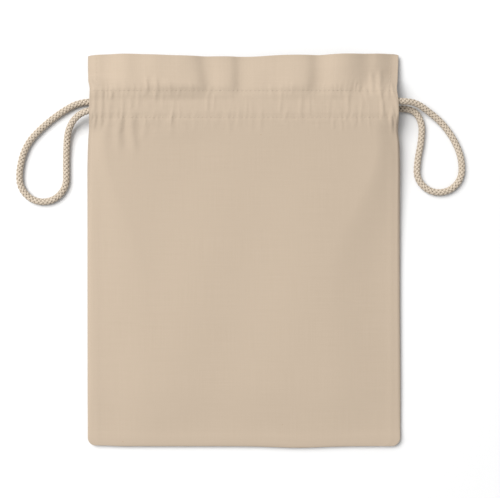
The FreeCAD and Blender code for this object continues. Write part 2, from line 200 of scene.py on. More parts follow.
CAD_BOX = [list(map(float, corner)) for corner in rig.bounds()]

# ---------------------------------------------------------------- sizes from the frame


def mm_box(node):
    """A CAD node's lowest and highest corners, in millimetres."""
    low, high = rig.box(node)
    return np.array(low) * 1000, np.array(high) * 1000


def middle(node):
    low, high = mm_box(node)
    return (low + high) / 2


_, TOP_CORNER = mm_box("front_panel")
HALF_WIDTH, HALF_LENGTH = float(TOP_CORNER[0]), float(TOP_CORNER[1])
UPPER_SEAM = float(middle("front_upper_channel_stitching")[1])
LOWER_SEAM = float(middle("front_lower_channel_stitching")[1])
SLIT_FOOT = float(mm_box("left_side_seam_allowance")[1][1])
FRONT_FACING = float(mm_box("front_hem_facing")[0][2]) + 0.25
BACK_FACING = float(mm_box("back_hem_facing")[1][2]) - 0.25
FACING_TAIL = float(mm_box("front_hem_facing")[0][1])
FACING_END = float(mm_box("front_hem_facing")[1][0])
CORD_RADIUS = float(np.ptp([c[2] for c in mm_box("left_cord_front_run")])) / 2
CLOTH = 0.45
EDGE_FRONT, EDGE_BACK = 2.75, 2.15  # heights of the two panels at the side seams
BACK_LIES = 0.27  # height of the back panel on the table
RIDGE_INSIDE = 7.5  # how far inside a seam the ridge over its allowance runs
CORNER_DROOP = 9.0  # how far the header's two corners hang
CHANNEL_MIDDLE = (LOWER_SEAM + UPPER_SEAM) / 2

# ---------------------------------------------------------------- small maths


def smooth(t):
    t = np.clip(t, 0, 1)
    return t * t * (3 - 2 * t)


def bump(x, middle_x, width):
    """A bell curve, 1 in its middle."""
    return np.exp(-(((x - middle_x) / width) ** 2))


def curve(x, knots):
    """Smooth interpolation through (x, value) knots, level wherever they turn back."""
    kx, ky = np.array(knots, float).T
    slope = np.diff(ky) / np.diff(kx)
    tangent = np.zeros_like(ky)
    same = slope[:-1] * slope[1:] > 0
    total = np.where(same, slope[:-1] + slope[1:], 1.0)
    tangent[1:-1] = np.where(same, 2 * slope[:-1] * slope[1:] / total, 0.0)
    x = np.clip(np.asarray(x, float), kx[0], kx[-1])
    i = np.clip(np.searchsorted(kx, x) - 1, 0, len(kx) - 2)
    h = kx[i + 1] - kx[i]
    t = (x - kx[i]) / h
    return (
        (1 + 2 * t) * (1 - t) ** 2 * ky[i]
        + t * (1 - t) ** 2 * h * tangent[i]
        + t * t * (3 - 2 * t) * ky[i + 1]
        + t * t * (t - 1) * h * tangent[i + 1]
    )


def steps(start, stops):
    """Places from start through each (end, spacing) in turn."""
    places = [start]
    for end, spacing in stops:
        count = max(1, round(abs(end - places[-1]) / spacing))
        places += list(np.linspace(places[-1], end, count + 1)[1:])
    return np.array(places)


def soft_noise(x, y, across, along, seed):
    """Smooth noise about -1 to 1, with separate sizes across and along the sack."""
    rng = np.random.default_rng(seed)
    total = np.zeros(np.broadcast(x, y).shape)
    for _ in range(9):
        angle = rng.uniform(0, 2 * math.pi)
        size = rng.uniform(0.7, 1.5)
        kx = math.cos(angle) * 2 * math.pi / across * size
        ky = math.sin(angle) * 2 * math.pi / along * size
        total = total + np.sin(kx * x + ky * y + rng.uniform(0, 2 * math.pi))
    return total / 3.2


def unit(vectors):
    """The same directions, each of length one."""
    return vectors / np.maximum(np.linalg.norm(vectors, axis=-1, keepdims=True), 1e-9)


# ---------------------------------------------------------------- puckers and folds


class Puckers:
    """Short upright wrinkles that the sewn channel draws into the cloth."""

    def __init__(self, seed, count, placed=()):
        rng = np.random.default_rng(seed)
        rows = []
        for _ in range(count):
            side = rng.random()
            if side < 0.34:
                x = -HALF_WIDTH + 75 * rng.random() ** 1.3
            elif side < 0.56:
                x = HALF_WIDTH - 60 * rng.random() ** 1.3
            else:
                x = rng.uniform(-95, 95)
            near = 1 - min(1.0, (HALF_WIDTH - abs(x)) / 62)
            where = rng.random()
            if where < 0.38:
                y, half = LOWER_SEAM + rng.uniform(-6, 4), rng.uniform(2.5, 8)
            elif where < 0.76:
                y, half = UPPER_SEAM + rng.uniform(-4, 5), rng.uniform(2.5, 7)
            else:
                y, half = CHANNEL_MIDDLE + rng.uniform(-7, 7), rng.uniform(3, 9)
            width = 0.75 + 1.7 * rng.random() ** 1.5
            height = rng.uniform(0.06, 0.30) * (0.75 + 0.9 * near) * (0.55 + 0.35 * width)
            rows.append((x, y, half, width, height, rng.normal(0, 0.09)))
        self.rows = rows + [tuple(row) for row in placed]

    def __call__(self, x, y):
        total = np.zeros(np.broadcast(x, y).shape)
        for cx, cy, half, width, height, lean in self.rows:
            across = (x - cx - lean * (y - cy)) / width
            along = (y - cy) / half
            ridge = bump(across, 0, 1) - 0.38 * bump(across, 0, 2.3)
            total = total + height * ridge * np.exp(-(along**4))
        return total


# Wrinkles that stand out: place, half length, half width, height and lean.
FRONT_WRINKLES = [
    (-121.0, 117.0, 13.0, 2.2, 0.40, 0.00),
    (-115.5, 114.0, 15.0, 2.4, 0.80, 0.03),
    (-108.8, 116.0, 14.0, 2.4, 0.75, 0.05),
    (-100.2, 95.0, 13.0, 3.4, 1.20, -0.12),
    (-89.2, 95.0, 15.0, 3.6, 1.30, -0.20),
    (-98.0, 119.0, 8.0, 1.8, 0.50, -0.04),
    (-85.0, 121.0, 9.0, 2.2, 0.45, 0.05),
    (-78.5, 131.0, 7.0, 2.0, 0.70, 0.12),
    (-71.0, 129.0, 9.0, 2.2, 0.75, 0.08),
    (-66.0, 118.0, 7.0, 1.6, 0.45, -0.06),
    (-79.0, 99.0, 10.0, 2.8, 0.45, 0.05),
    (-58.0, 102.0, 9.0, 2.4, 0.40, -0.03),
    (-29.0, 120.0, 8.0, 1.6, 0.50, 0.04),
    (-24.0, 118.0, 7.0, 1.4, 0.45, 0.02),
    (-12.0, 103.0, 9.0, 2.0, 0.45, -0.08),
    (14.0, 104.0, 8.0, 1.8, 0.35, 0.05),
    (30.0, 118.0, 8.0, 1.7, 0.55, 0.08),
    (46.0, 113.0, 9.0, 2.0, 0.60, 0.06),
    (53.0, 115.0, 8.0, 1.6, 0.45, 0.02),
    (69.0, 113.0, 8.0, 1.8, 0.40, 0.03),
    (84.0, 116.0, 8.0, 2.0, 0.45, 0.02),
    (104.0, 133.0, 9.0, 2.0, 0.80, -0.10),
    (110.8, 131.0, 12.0, 2.4, 1.20, -0.05),
    (111.8, 111.0, 8.0, 2.2, 0.90, 0.04),
    (119.0, 100.0, 8.0, 2.4, 0.45, 0.00),
]
FRONT_PUCKERS = Puckers(11, 300, FRONT_WRINKLES)
BACK_PUCKERS = Puckers(29, 170)
FACING_PUCKERS = Puckers(47, 120)

# The header's broad folds: place, fall to the right (or rise, below 0), half width and lean.
HEADER_FOLDS = [
    (-121, -1.2, 3.0, 0.0),
    (-114, 2.0, 4.5, 0.02),
    (-103, -0.9, 6.0, 0.0),
    (-74, -2.4, 12.0, 0.0),
    (-34, 4.4, 5.0, -0.10),
    (-22, -2.0, 5.0, 0.0),
    (-7, 3.4, 4.0, 0.0),
    (4, -1.6, 6.0, 0.0),
    (33, -2.7, 9.0, 0.0),
    (55, 3.8, 5.0, 0.0),
    (68, -3.0, 6.0, 0.04),
    (91, 4.2, 7.0, 0.03),
    (104, -2.6, 4.5, 0.0),
    (117, 1.9, 4.0, 0.0),
]


def header_folds(x, y):
    """Height that the broad folds add, least 0, dying away over the channel."""
    total = np.zeros(np.broadcast(x, y).shape)
    for place_x, fall, width, lean in HEADER_FOLDS:
        along = (x - place_x - lean * (y - 142)) / width
        total = total - fall * 0.5 * np.tanh(along)
    return (total + 1.5) * smooth((y - 118.5) / 15)


def header_share(y):
    """0 at the upper channel seam, 1 at the top edge."""
    return np.clip((y - UPPER_SEAM) / (HALF_LENGTH - UPPER_SEAM), 0, 1)


def seam_groove(y, depth):
    """The dip that each row of stitches pulls into the cloth."""
    return -depth * (bump(y, UPPER_SEAM, 1.25) + bump(y, LOWER_SEAM, 1.25))


# ---------------------------------------------------------------- the lie of the cloth

FRONT_RISE = [
    (-157, 6.0), (-132, 7.1), (-60, 8.6), (0, 10.2), (50, 12.9), (82, 15.8), (96, 17.6),
    (105, 18.8), (110, 19.2), (116, 19.3), (122, 19.2), (127, 18.6), (133, 17.4), (145, 15.0),
    (157, 13.0),
]


def corner_share(distance, width):
    """A quarter circle from an edge, 0 to 1 over width."""
    t = np.clip(distance / width, 0, 1)
    return np.sqrt(np.maximum(0, 1 - (1 - t) ** 2))


def bottom_lift(y):
    """How much higher than the side seams the bottom seam lies."""
    return 1.5 * bump(y, -HALF_LENGTH, 14)


def front_panel(x, y):
    """Height of the front panel's middle surface."""
    from_side = HALF_WIDTH - np.abs(x)
    from_bottom = y + HALF_LENGTH
    # a tight round at the seam and a broad shoulder, which narrows towards the channel
    near = smooth((y + 25) / 110)
    shoulder = np.where(x < 0, 48 - 32 * near, 60 - 40 * near)
    share = np.where(x < 0, 0.40 + 0.30 * near, 0.36 + 0.38 * near)
    tight = corner_share(from_side, np.where(x < 0, 5.0, 2.8))
    side = share * tight + (1 - share) * smooth(from_side / shoulder)
    toe = 0.55 * corner_share(from_bottom, 4.5) + 0.45 * smooth(from_bottom / 50)
    rise = curve(y, FRONT_RISE)
    rise = EDGE_FRONT + bottom_lift(y) + (rise - EDGE_FRONT - bottom_lift(y)) * toe
    edge = EDGE_FRONT + bottom_lift(y)
    edge = edge + (rise - edge) * smooth((y - SLIT_FOOT - 2) / 17)
    z = edge + (rise - edge) * side
    seam_ridge = 0.16 * bump(from_side, RIDGE_INSIDE, 2.6) * (1 - smooth((y - 70) / 20))
    seam_ridge = seam_ridge + 0.14 * bump(from_bottom, RIDGE_INSIDE, 2.6)
    body = 0.45 * soft_noise(x, y, 75, 150, 3) * smooth(from_side / 25) * smooth(from_bottom / 25)
    body = body * (1 - smooth((y - 84) / 16))
    share = header_share(y)
    header = header_folds(x, y) + 0.4 * soft_noise(x, y, 30, 80, 5) * smooth(share * 1.3)
    droop = smooth((y - 125) / 17) * smooth((np.abs(x) - 90) / 35)
    return z + seam_ridge + body + header - CORNER_DROOP * droop


def front_relief(x, y):
    """Puckers on the front panel, lifted where the cords lie under it."""
    fade = smooth((HALF_WIDTH + 1 - np.abs(x)) / 3)
    over_cords = smooth((y - LOWER_SEAM - 2) / 2) * smooth((UPPER_SEAM - 2 - y) / 2)
    relief = FRONT_PUCKERS(x, y) * fade
    gathers = 0.10 * soft_noise(x, y, 7.5, 24, 7) * np.exp(-(((y - 115) / 15) ** 4))
    ends = 0.6 + 0.8 * smooth((np.abs(x) - 60) / 60)
    relief = relief + gathers * ends
    lifted = np.where(relief > 0, relief, relief * 0.35) + 0.12
    return relief * (1 - over_cords) + lifted * over_cords + seam_groove(y, 0.15)


def front_outer(x, y):
    return front_panel(x, y) + front_relief(x, y)


def front_facing(x, y):
    """The turned-in hem under the front panel, round the under side of its cords."""
    under = front_panel(x, y) - 0.78
    share = smooth((UPPER_SEAM + 1 - y) / 3.7) * smooth((y - LOWER_SEAM + 1) / 3.7)
    puckers = np.abs(FACING_PUCKERS(x, y)) * 0.8
    trough = FRONT_FACING - 0.05 - puckers * share
    gather = FRONT_PUCKERS(x, y) * 0.5 * (1 - share)
    return under * (1 - share) + trough * share + gather - 0.25 * (1 - share)


def back_outer(x, y):
    """The cloth that lies on the table, curled up to meet the front panel at its seams."""
    from_side = HALF_WIDTH - np.abs(x)
    sewn = 1 - smooth((y - SLIT_FOOT + 1) / 8)
    lift = (1 - corner_share(from_side, 3.0)) * sewn
    lift = np.maximum(lift, 1 - corner_share(y + HALF_LENGTH, 3.0))
    channel = np.exp(-(((y - 116) / 16) ** 4))
    puckers = np.clip(BACK_PUCKERS(x, y), 0, 0.28) * channel
    return BACK_LIES + (EDGE_BACK + bottom_lift(y) - BACK_LIES) * lift + puckers * 0.8


def back_facing(x, y):
    lying = back_outer(x, y) + 0.62
    share = smooth((UPPER_SEAM + 1 - y) / 3.7) * smooth((y - LOWER_SEAM + 1) / 3.7)
    over = BACK_FACING + 0.02 + np.abs(FACING_PUCKERS(-x, y)) * 0.3
    header = 0.35 * np.abs(soft_noise(x, y, 40, 60, 17)) * header_share(y)
    return lying * (1 - share) + over * share + header


LEFT_EDGE = [
    (-157, 125.4), (-120, 125.7), (0, 125.8), (60, 125.8), (90, 125.0), (100, 123.4), (108, 122.2),
    (118, 121.9), (128, 121.5), (137, 123.6), (150, 124.4), (157, 124.5),
]
RIGHT_EDGE = [
    (-157, 125.8), (-120, 126.1), (-20, 125.6), (60, 125.6), (85, 125.0), (98, 123.4), (108, 122.5),
    (118, 122.3), (128, 121.3), (138, 122.9), (157, 124.0),
]
TOP_EDGE = [
    (-126, 156.6), (-120, 157.0), (-108, 157.0), (-76, 155.9), (-50, 155.0), (-30, 154.7),
    (5, 154.7), (36, 155.9), (60, 155.9), (75, 156.5), (100, 157.3), (118, 158.1), (126, 158.1),
]


def place(x, y):
    """Moves a point of the plain rectangle to the sack's own uneven outline."""
    half = np.where(x < 0, curve(y, LEFT_EDGE), curve(y, RIGHT_EDGE))
    radius = np.where(x < 0, 6.2, 6.8)
    low = np.clip(radius - (y + HALF_LENGTH), 0, radius)
    half = half - (radius - np.sqrt(radius**2 - low**2))
    moved_x = x * half / HALF_WIDTH
    top = (curve(x, TOP_EDGE) - HALF_LENGTH) * smooth(header_share(y))
    bottom = -0.1 - 1.2 * bump(x, 46, 27) + 0.6 * smooth((-x - 100) / 20)
    bottom = bottom * smooth((-120 - y) / 35)
    return moved_x, y + top + bottom


def surface(height, x, y):
    """Points of the sack, shape (..., 3), from the plain rectangle and a height function."""
    px, py = place(x, y)
    return np.stack([px, py, height(x, y)], axis=-1)


# ---------------------------------------------------------------- meshes


def add_mesh(name, points, faces, material, uv, normals=None):
    """A smooth mesh object in metres; uv and normals are given for each point."""
    mesh = bpy.data.meshes.new(name)
    mesh.from_pydata((np.asarray(points) * 0.001).tolist(), [], np.asarray(faces).tolist())
    mesh.polygons.foreach_set("use_smooth", [True] * len(mesh.polygons))
    corners = np.empty(len(mesh.loops), dtype=np.int64)
    mesh.loops.foreach_get("vertex_index", corners)
    layer = mesh.uv_layers.new(name="Cloth")
    layer.data.foreach_set("uv", np.asarray(uv)[corners].astype(np.float32).ravel())
    mesh.update()
    if normals is not None:
        mesh.normals_split_custom_set(np.asarray(normals)[corners].tolist())
    obj = bpy.data.objects.new(name, mesh)
    bpy.context.scene.collection.objects.link(obj)
    obj.data.materials.append(material)
    return obj


def grid_faces(rows, columns, flip=False):
    index = np.arange(rows * columns).reshape(rows, columns)
    a, b = index[:-1, :-1].ravel(), index[:-1, 1:].ravel()
    c, d = index[1:, 1:].ravel(), index[1:, :-1].ravel()
    order = (a, d, c, b) if flip else (a, b, c, d)
    return np.stack(order, axis=1)


def grid_normals(grid):
    return unit(np.cross(np.gradient(grid, axis=1), np.gradient(grid, axis=0)))


class Cloth:
    """Gathers thick sheets into one mesh."""

    def __init__(self):
        self.points, self.faces, self.uv, self.normals, self.count = [], [], [], [], 0

    def _add(self, points, faces, uv, normals):
        self.points.append(points.reshape(-1, 3))
        self.uv.append(uv.reshape(-1, 2))
        self.normals.append(normals.reshape(-1, 3))
        self.faces.append(faces + self.count)
        self.count += len(self.points[-1])

    def sheet(self, grid, uv, normal, thick=CLOTH, rims=("first", "last", "left", "right")):
        """A sheet of the given thickness about its middle grid, closed along the named rims."""
        rows, columns = grid.shape[:2]
        above, below = grid + normal * thick / 2, grid - normal * thick / 2
        self._add(above, grid_faces(rows, columns), uv, normal)
        self._add(below, grid_faces(rows, columns, flip=True), uv, -normal)
        edges = {
            "first": (above[0], below[0], uv[0], True),
            "last": (above[-1], below[-1], uv[-1], False),
            "left": (above[:, 0], below[:, 0], uv[:, 0], False),
            "right": (above[:, -1], below[:, -1], uv[:, -1], True),
        }
        for rim in rims:
            top, bottom, place_uv, flip = edges[rim]
            strip = np.stack([top, bottom])
            out = grid_normals(strip) * (1 if flip else -1)
            strip_uv = np.stack([place_uv, place_uv + 0.0002])
            self._add(strip, grid_faces(2, len(top), flip=not flip), strip_uv, out)

    def make(self, name):
        return add_mesh(
            name,
            np.concatenate(self.points),
            np.concatenate(self.faces),
            CLOTH_MATERIAL,
            np.concatenate(self.uv),
            np.concatenate(self.normals),
        )


def panel_columns():
    """Places across the sack, closest at its side edges, with one exactly in the middle."""
    right = steps(0, [(110, 0.85), (120, 0.7), (HALF_WIDTH - 1, 0.4), (HALF_WIDTH, 0.12)])
    return np.concatenate([-right[:0:-1], right])


COLUMNS = panel_columns()
MIDDLE = len(COLUMNS) // 2
SIDES = (("left", -1), ("right", 1))


def panel_rows():
    """Places up the sack, closest at the bottom seam and from the slits' feet upwards."""
    low = -HALF_LENGTH
    start = steps(low, [(low + 1, 0.15), (low + 6, 0.5), (low + 14, 1.0), (80, 3.2)])
    return np.concatenate([start, steps(80, [(HALF_LENGTH - 0.5, 0.85)])[1:]])


def panel_and_facing(outer, facing, fold_radius):
    """Middle grid of a panel, its top fold and its facing, from the bottom seam upwards."""
    rows = panel_rows()
    x, y = np.meshgrid(COLUMNS, rows)
    panel = surface(outer, x, y)
    tail = steps(HALF_LENGTH - 0.5, [(FACING_TAIL, 0.95)])[1:]
    # the facing is as wide as the header, and drawn in where the cords turn round the slits
    narrow = smooth((UPPER_SEAM + 3 - tail) / 4) * (1 - 0.5 * smooth((LOWER_SEAM - tail) / 4))
    width = (HALF_WIDTH - 8.6) * (1 - narrow) + (FACING_END - 0.5) * narrow
    fx = COLUMNS[None, :] * (width / HALF_WIDTH)[:, None]
    fy = np.repeat(tail[:, None], len(COLUMNS), axis=1)
    inner = surface(facing, fx, fy)
    # the fold is half a round between the panel's last row and the facing's first
    top, start = panel[-1], inner[0]
    folds = []
    for angle in np.linspace(0, math.pi, 8)[1:-1]:
        share = (1 - math.cos(angle)) / 2
        row = top * (1 - share) + start * share
        row[:, 1] = top[:, 1] + fold_radius * math.sin(angle)
        folds.append(row)
    grid = np.concatenate([panel, np.array(folds), inner])
    step = np.linalg.norm(np.diff(grid, axis=0), axis=-1)[:, MIDDLE]
    down = np.concatenate([[0], np.cumsum(step)])
    across = np.concatenate([x, np.repeat(x[:1], len(folds), axis=0), fx])
    uv = np.stack([across, np.repeat(down[:, None], len(COLUMNS), axis=1)], axis=-1) * 0.001
    return grid, uv


def slit_hem(outer, side, drop):
    """The turned-in edge of a panel beside the slit: middle grid and its texture places."""
    rows = steps(SLIT_FOOT + 3, [(HALF_LENGTH - 0.6, 0.9)])
    turn = np.linspace(0, math.pi, 7)
    columns = np.concatenate([0.32 * np.sin(turn), -steps(0.7, [(7.6, 0.8)])])
    lower = np.concatenate([(1 - np.cos(turn)) / 2, np.ones(len(columns) - len(turn))])
    x = side * (HALF_WIDTH + columns[None, :])
    x, y = np.broadcast_arrays(x, rows[:, None])
    inside = side * np.minimum(np.abs(x), HALF_WIDTH)
    grid = surface(outer, inside, y)
    grid[..., 0] += x - inside
    grid[..., 2] += drop * lower[None, :]
    uv = np.stack([x, y], axis=-1) * 0.001
    return (grid, uv) if side * drop > 0 else (grid[:, ::-1], uv[:, ::-1])


def cloth_halves(name, outer, facing, fold_radius, hem_drop):
    """The two halves of a panel, with the same points and normals where they meet."""
    grid, uv = panel_and_facing(outer, facing, fold_radius)
    normal = grid_normals(grid)
    halves = {}
    for side, sign in SIDES:
        part = slice(0, MIDDLE + 1) if side == "left" else slice(MIDDLE, None)
        cloth = Cloth()
        cloth.sheet(grid[:, part], uv[:, part], normal[:, part], rims=("first", "last", side))
        hem, hem_uv = slit_hem(outer, sign, hem_drop)
        cloth.sheet(hem, hem_uv, grid_normals(hem))
        halves[side] = cloth.make(f"{name}_{side}")
    return halves


# ---------------------------------------------------------------- materials

CLOTH_COLOUR = (0.428, 0.346, 0.265)
CORD_COLOUR = (0.575, 0.495, 0.405)
THREAD_COLOUR = (0.55, 0.46, 0.365)
YARN_PITCH = 0.00052  # of the weave, in metres
FULL_TURN = 2 * math.pi


def new_material(name):
    material = bpy.data.materials.new(name)
    material.use_nodes = True
    tree = material.node_tree
    return material, tree, tree.nodes["Principled BSDF"]


def feed(tree, socket, value):
    """Links a socket to another node's output, or gives it a plain value."""
    if isinstance(value, bpy.types.NodeSocket):
        tree.links.new(value, socket)
    else:
        socket.default_value = value


def node(tree, kind, settings=None, **inputs):
    """Adds a node; settings are its own properties, inputs the values or links of its sockets."""
    made = tree.nodes.new(kind)
    for key, value in (settings or {}).items():
        setattr(made, key, value)
    for key, value in inputs.items():
        feed(tree, made.inputs[key], value)
    return made


def math_node(tree, operation, *values):
    made = tree.nodes.new("ShaderNodeMath")
    made.operation = operation
    for socket, value in zip(made.inputs, values):
        feed(tree, socket, value)
    return made.outputs[0]


def mix_colour(tree, factor, first, second):
    made = tree.nodes.new("ShaderNodeMix")
    made.data_type = "RGBA"
    for number, value in ((0, factor), (6, first), (7, second)):
        feed(tree, made.inputs[number], value)
    return made.outputs[2]


def shaded(colour, *factors):
    """A colour times a factor for each channel, or the same factor for all, with its alpha."""
    factors = factors if len(factors) == 3 else factors * 3
    return (*[c * f for c, f in zip(colour, factors)], 1)


def noise(tree, place, scale, detail=2.0, stretch=(1, 1, 1)):
    """Noise over stretched places; scale counts features in a metre."""
    mapping = node(tree, "ShaderNodeMapping", Vector=place, Scale=[scale * s for s in stretch])
    made = node(tree, "ShaderNodeTexNoise", Vector=mapping.outputs[0], Scale=1.0, Detail=detail)
    return made.outputs["Fac"]


def remap(tree, value, low, high, to_low=0.0, to_high=1.0):
    made = tree.nodes.new("ShaderNodeMapRange")
    tree.links.new(value, made.inputs[0])
    for socket, number in zip(list(made.inputs)[1:5], (low, high, to_low, to_high)):
        socket.default_value = number
    return made.outputs[0]


def cotton_cloth():
    """Unbleached plain weave: uneven yarns both ways, soft cloudiness and a few husk flecks."""
    material, tree, shader = new_material("cotton_cloth")
    place = node(tree, "ShaderNodeUVMap", {"uv_map": "Cloth"}).outputs[0]
    split = node(tree, "ShaderNodeSeparateXYZ", Vector=place)
    turn = FULL_TURN / YARN_PITCH
    wobble = noise(tree, place, 260, 1.0)
    shift = math_node(tree, "MULTIPLY", wobble, 2.2)
    warp = math_node(tree, "SINE", math_node(tree, "MULTIPLY_ADD", split.outputs[0], turn, shift))
    weft = math_node(tree, "SINE", math_node(tree, "MULTIPLY_ADD", split.outputs[1], turn, shift))
    weave = math_node(tree, "MULTIPLY", warp, weft)
    slub_up = noise(tree, place, 1, 3.0, (1500, 28, 1))
    slub_across = noise(tree, place, 1, 3.0, (24, 1500, 1))
    yarns = math_node(tree, "ADD", slub_up, slub_across)
    cloud = noise(tree, place, 14, 3.0)
    fuzz = noise(tree, place, 900, 3.0)
    deep, pale = shaded(CLOTH_COLOUR, 0.975, 0.972, 0.965), shaded(CLOTH_COLOUR, 1.02)
    colour = mix_colour(tree, remap(tree, yarns, 0.75, 1.25), deep, pale)
    share = remap(tree, cloud, 0.35, 0.65, 0.0, 0.55)
    colour = mix_colour(tree, share, colour, shaded(CLOTH_COLOUR, 1.0))
    share = remap(tree, weave, -1, 1, 0.0, 0.16)
    colour = mix_colour(tree, share, colour, shaded(CLOTH_COLOUR, 0.72))
    fleck = node(tree, "ShaderNodeTexVoronoi", {"feature": "F1"}, Vector=place, Scale=62.0)
    bright = node(tree, "ShaderNodeSeparateXYZ", Vector=fleck.outputs["Color"])
    chosen = math_node(tree, "GREATER_THAN", bright.outputs[0], 0.83)
    small = remap(tree, fleck.outputs["Distance"], 0.018, 0.030, 1.0, 0.0)
    fleck_mask = math_node(tree, "MULTIPLY", math_node(tree, "MULTIPLY", small, chosen), 0.6)
    colour = mix_colour(tree, fleck_mask, colour, (0.30, 0.19, 0.11, 1))
    tree.links.new(colour, shader.inputs["Base Color"])
    shader.inputs["Roughness"].default_value = 0.92
    shader.inputs["Sheen Weight"].default_value = 0.12
    shader.inputs["Sheen Roughness"].default_value = 0.5
    shader.inputs["Sheen Tint"].default_value = (1.0, 0.96, 0.9, 1)
    shader.inputs["Specular IOR Level"].default_value = 0.2
    height = math_node(tree, "MULTIPLY_ADD", weave, 0.5, math_node(tree, "MULTIPLY", fuzz, 0.9))
    height = math_node(tree, "MULTIPLY_ADD", yarns, 0.7, height)
    bump = node(tree, "ShaderNodeBump", Height=height, Strength=0.35, Distance=0.00012)
    tree.links.new(bump.outputs[0], shader.inputs["Normal"])
    return material


def cotton_yarn(name, colour, twist, gap_shade):
    """Spun cotton yarn: fine slanting fibres, darker between them, with painted shade at the strand's rims."""
    material, tree, shader = new_material(name)
    place = node(tree, "ShaderNodeUVMap", {"uv_map": "Cloth"}).outputs[0]
    split = node(tree, "ShaderNodeSeparateXYZ", Vector=place)
    turned = math_node(tree, "MULTIPLY", split.outputs[1], 3 * FULL_TURN)
    slant = math_node(tree, "MULTIPLY_ADD", split.outputs[0], twist, turned)
    ply = math_node(tree, "SINE", slant)
    fuzz = noise(tree, place, 1, 3.0, (2600, 3, 1))
    tone = noise(tree, place, 1, 2.0, (120, 1.5, 1))
    shade = math_node(tree, "MULTIPLY", tone, 0.5)
    shade = math_node(tree, "MULTIPLY_ADD", fuzz, 0.5, shade)
    shade = math_node(tree, "MULTIPLY_ADD", ply, 0.18, shade)
    deep, pale = shaded(colour, 0.80, 0.78, 0.73), shaded(colour, 1.06)
    body = mix_colour(tree, remap(tree, shade, 0.2, 0.75), deep, pale)
    # painted shade: each strand is darkened towards its rims, where it turns in between its neighbours, by as much as
    # gap_shade
    angle = math_node(tree, "MULTIPLY", split.outputs[1], FULL_TURN)
    round_yarn = math_node(tree, "COSINE", angle)
    rim = math_node(tree, "POWER", math_node(tree, "ABSOLUTE", round_yarn), 2.2)
    rim = math_node(tree, "MULTIPLY", rim, gap_shade)
    body = mix_colour(tree, rim, body, shaded(colour, 0.26, 0.22, 0.17))
    tree.links.new(body, shader.inputs["Base Color"])
    shader.inputs["Roughness"].default_value = 0.88
    shader.inputs["Sheen Weight"].default_value = 0.15
    shader.inputs["Sheen Roughness"].default_value = 0.45
    shader.inputs["Specular IOR Level"].default_value = 0.25
    height = math_node(tree, "MULTIPLY_ADD", ply, 0.6, fuzz)
    bump = node(tree, "ShaderNodeBump", Height=height, Strength=0.5, Distance=0.00010)
    tree.links.new(bump.outputs[0], shader.inputs["Normal"])
    return material


CLOTH_MATERIAL = cotton_cloth()
CORD_MATERIAL = cotton_yarn("braided_cord", CORD_COLOUR, 9000, 0.42)
THREAD_MATERIAL = cotton_yarn("sewing_thread", THREAD_COLOUR, 14000, 0.2)

# ---------------------------------------------------------------- the cords

# Control points of the two free loops, in metres: the CAD's, some moved a little.
LEFT_ROUTE = [
    (-0.1165, 0.11275, 0.01545),
    (-0.1251, 0.1120, 0.0146),
    (-0.1352, 0.1069, 0.0096),
    (-0.1416, 0.0965, 0.0051),
    (-0.1430, 0.0824, 0.0032),
    (-0.1432, 0.0670, 0.00285),
    (-0.1430, 0.0508, 0.00285),
    (-0.1540, 0.0396, 0.00285),
    (-0.1696, 0.0395, 0.00285),
    (-0.1807, 0.0506, 0.00285),
    (-0.1810, 0.0672, 0.00285),
    (-0.1752, 0.0862, 0.00285),
    (-0.1614, 0.1008, 0.00285),
    (-0.1448, 0.1134, 0.0029),
    (-0.1305, 0.1205, 0.0033),
    (-0.1165, 0.12025, 0.00355),
]
RIGHT_ROUTE = [
    (0.1165, 0.1194, 0.01545),
    (0.1260, 0.1193, 0.0146),
    (0.1380, 0.1187, 0.0098),
    (0.1496, 0.1112, 0.0052),
    (0.1602, 0.1026, 0.0032),
    (0.1698, 0.0892, 0.00285),
    (0.1757, 0.0744, 0.00285),
    (0.1757, 0.0579, 0.00285),
    (0.1650, 0.0472, 0.00285),
    (0.1498, 0.0471, 0.00285),
    (0.1391, 0.0579, 0.00285),
    (0.1399, 0.0731, 0.00285),
    (0.1431, 0.0878, 0.00285),
    (0.1438, 0.1046, 0.00285),
    (0.1343, 0.1163, 0.0031),
    (0.1165, 0.1136, 0.00355),
]


def spline_points(name, route):
    """Points along the NURBS spline that the route controls, in millimetres."""
    data = bpy.data.curves.new(name, "CURVE")
    data.dimensions = "3D"
    spline = data.splines.new("NURBS")
    spline.points.add(len(route) - 1)
    for point, place_m in zip(spline.points, route):
        point.co = (*place_m, 1)
    spline.order_u = 3
    spline.use_endpoint_u = True
    spline.resolution_u = 24
    carrier = bpy.data.objects.new(name, data)
    bpy.context.scene.collection.objects.link(carrier)
    mesh = bpy.data.meshes.new_from_object(carrier)
    points = np.array([v.co for v in mesh.vertices]) * 1000
    bpy.data.objects.remove(carrier)
    bpy.data.meshes.remove(mesh)
    return points


def resample(points, spacing):
    """The same line with even spacing, and the distance of each point along it."""
    along = np.concatenate([[0], np.cumsum(np.linalg.norm(np.diff(points, axis=0), axis=1))])
    count = max(2, round(along[-1] / spacing))
    places = np.linspace(0, along[-1], count + 1)
    return np.stack([np.interp(places, along, points[:, k]) for k in range(3)], axis=1), places


def frames(points, first_up, last_up):
    """Cross directions along a line that turn as little as they can between two given ones."""
    tangents = unit(np.gradient(points, axis=0))
    ups, up = [], np.array(first_up, float)
    for tangent in tangents:
        up = unit(up - tangent * up.dot(tangent))
        ups.append(up)
    ups = np.array(ups)
    sides = np.cross(tangents, ups)
    aim = np.array(last_up, float)
    twist = math.atan2(aim.dot(sides[-1]), aim.dot(ups[-1]))
    angles = np.linspace(0, twist, len(points))[:, None]
    turned = ups * np.cos(angles) + sides * np.sin(angles)
    return turned, np.cross(tangents, turned)


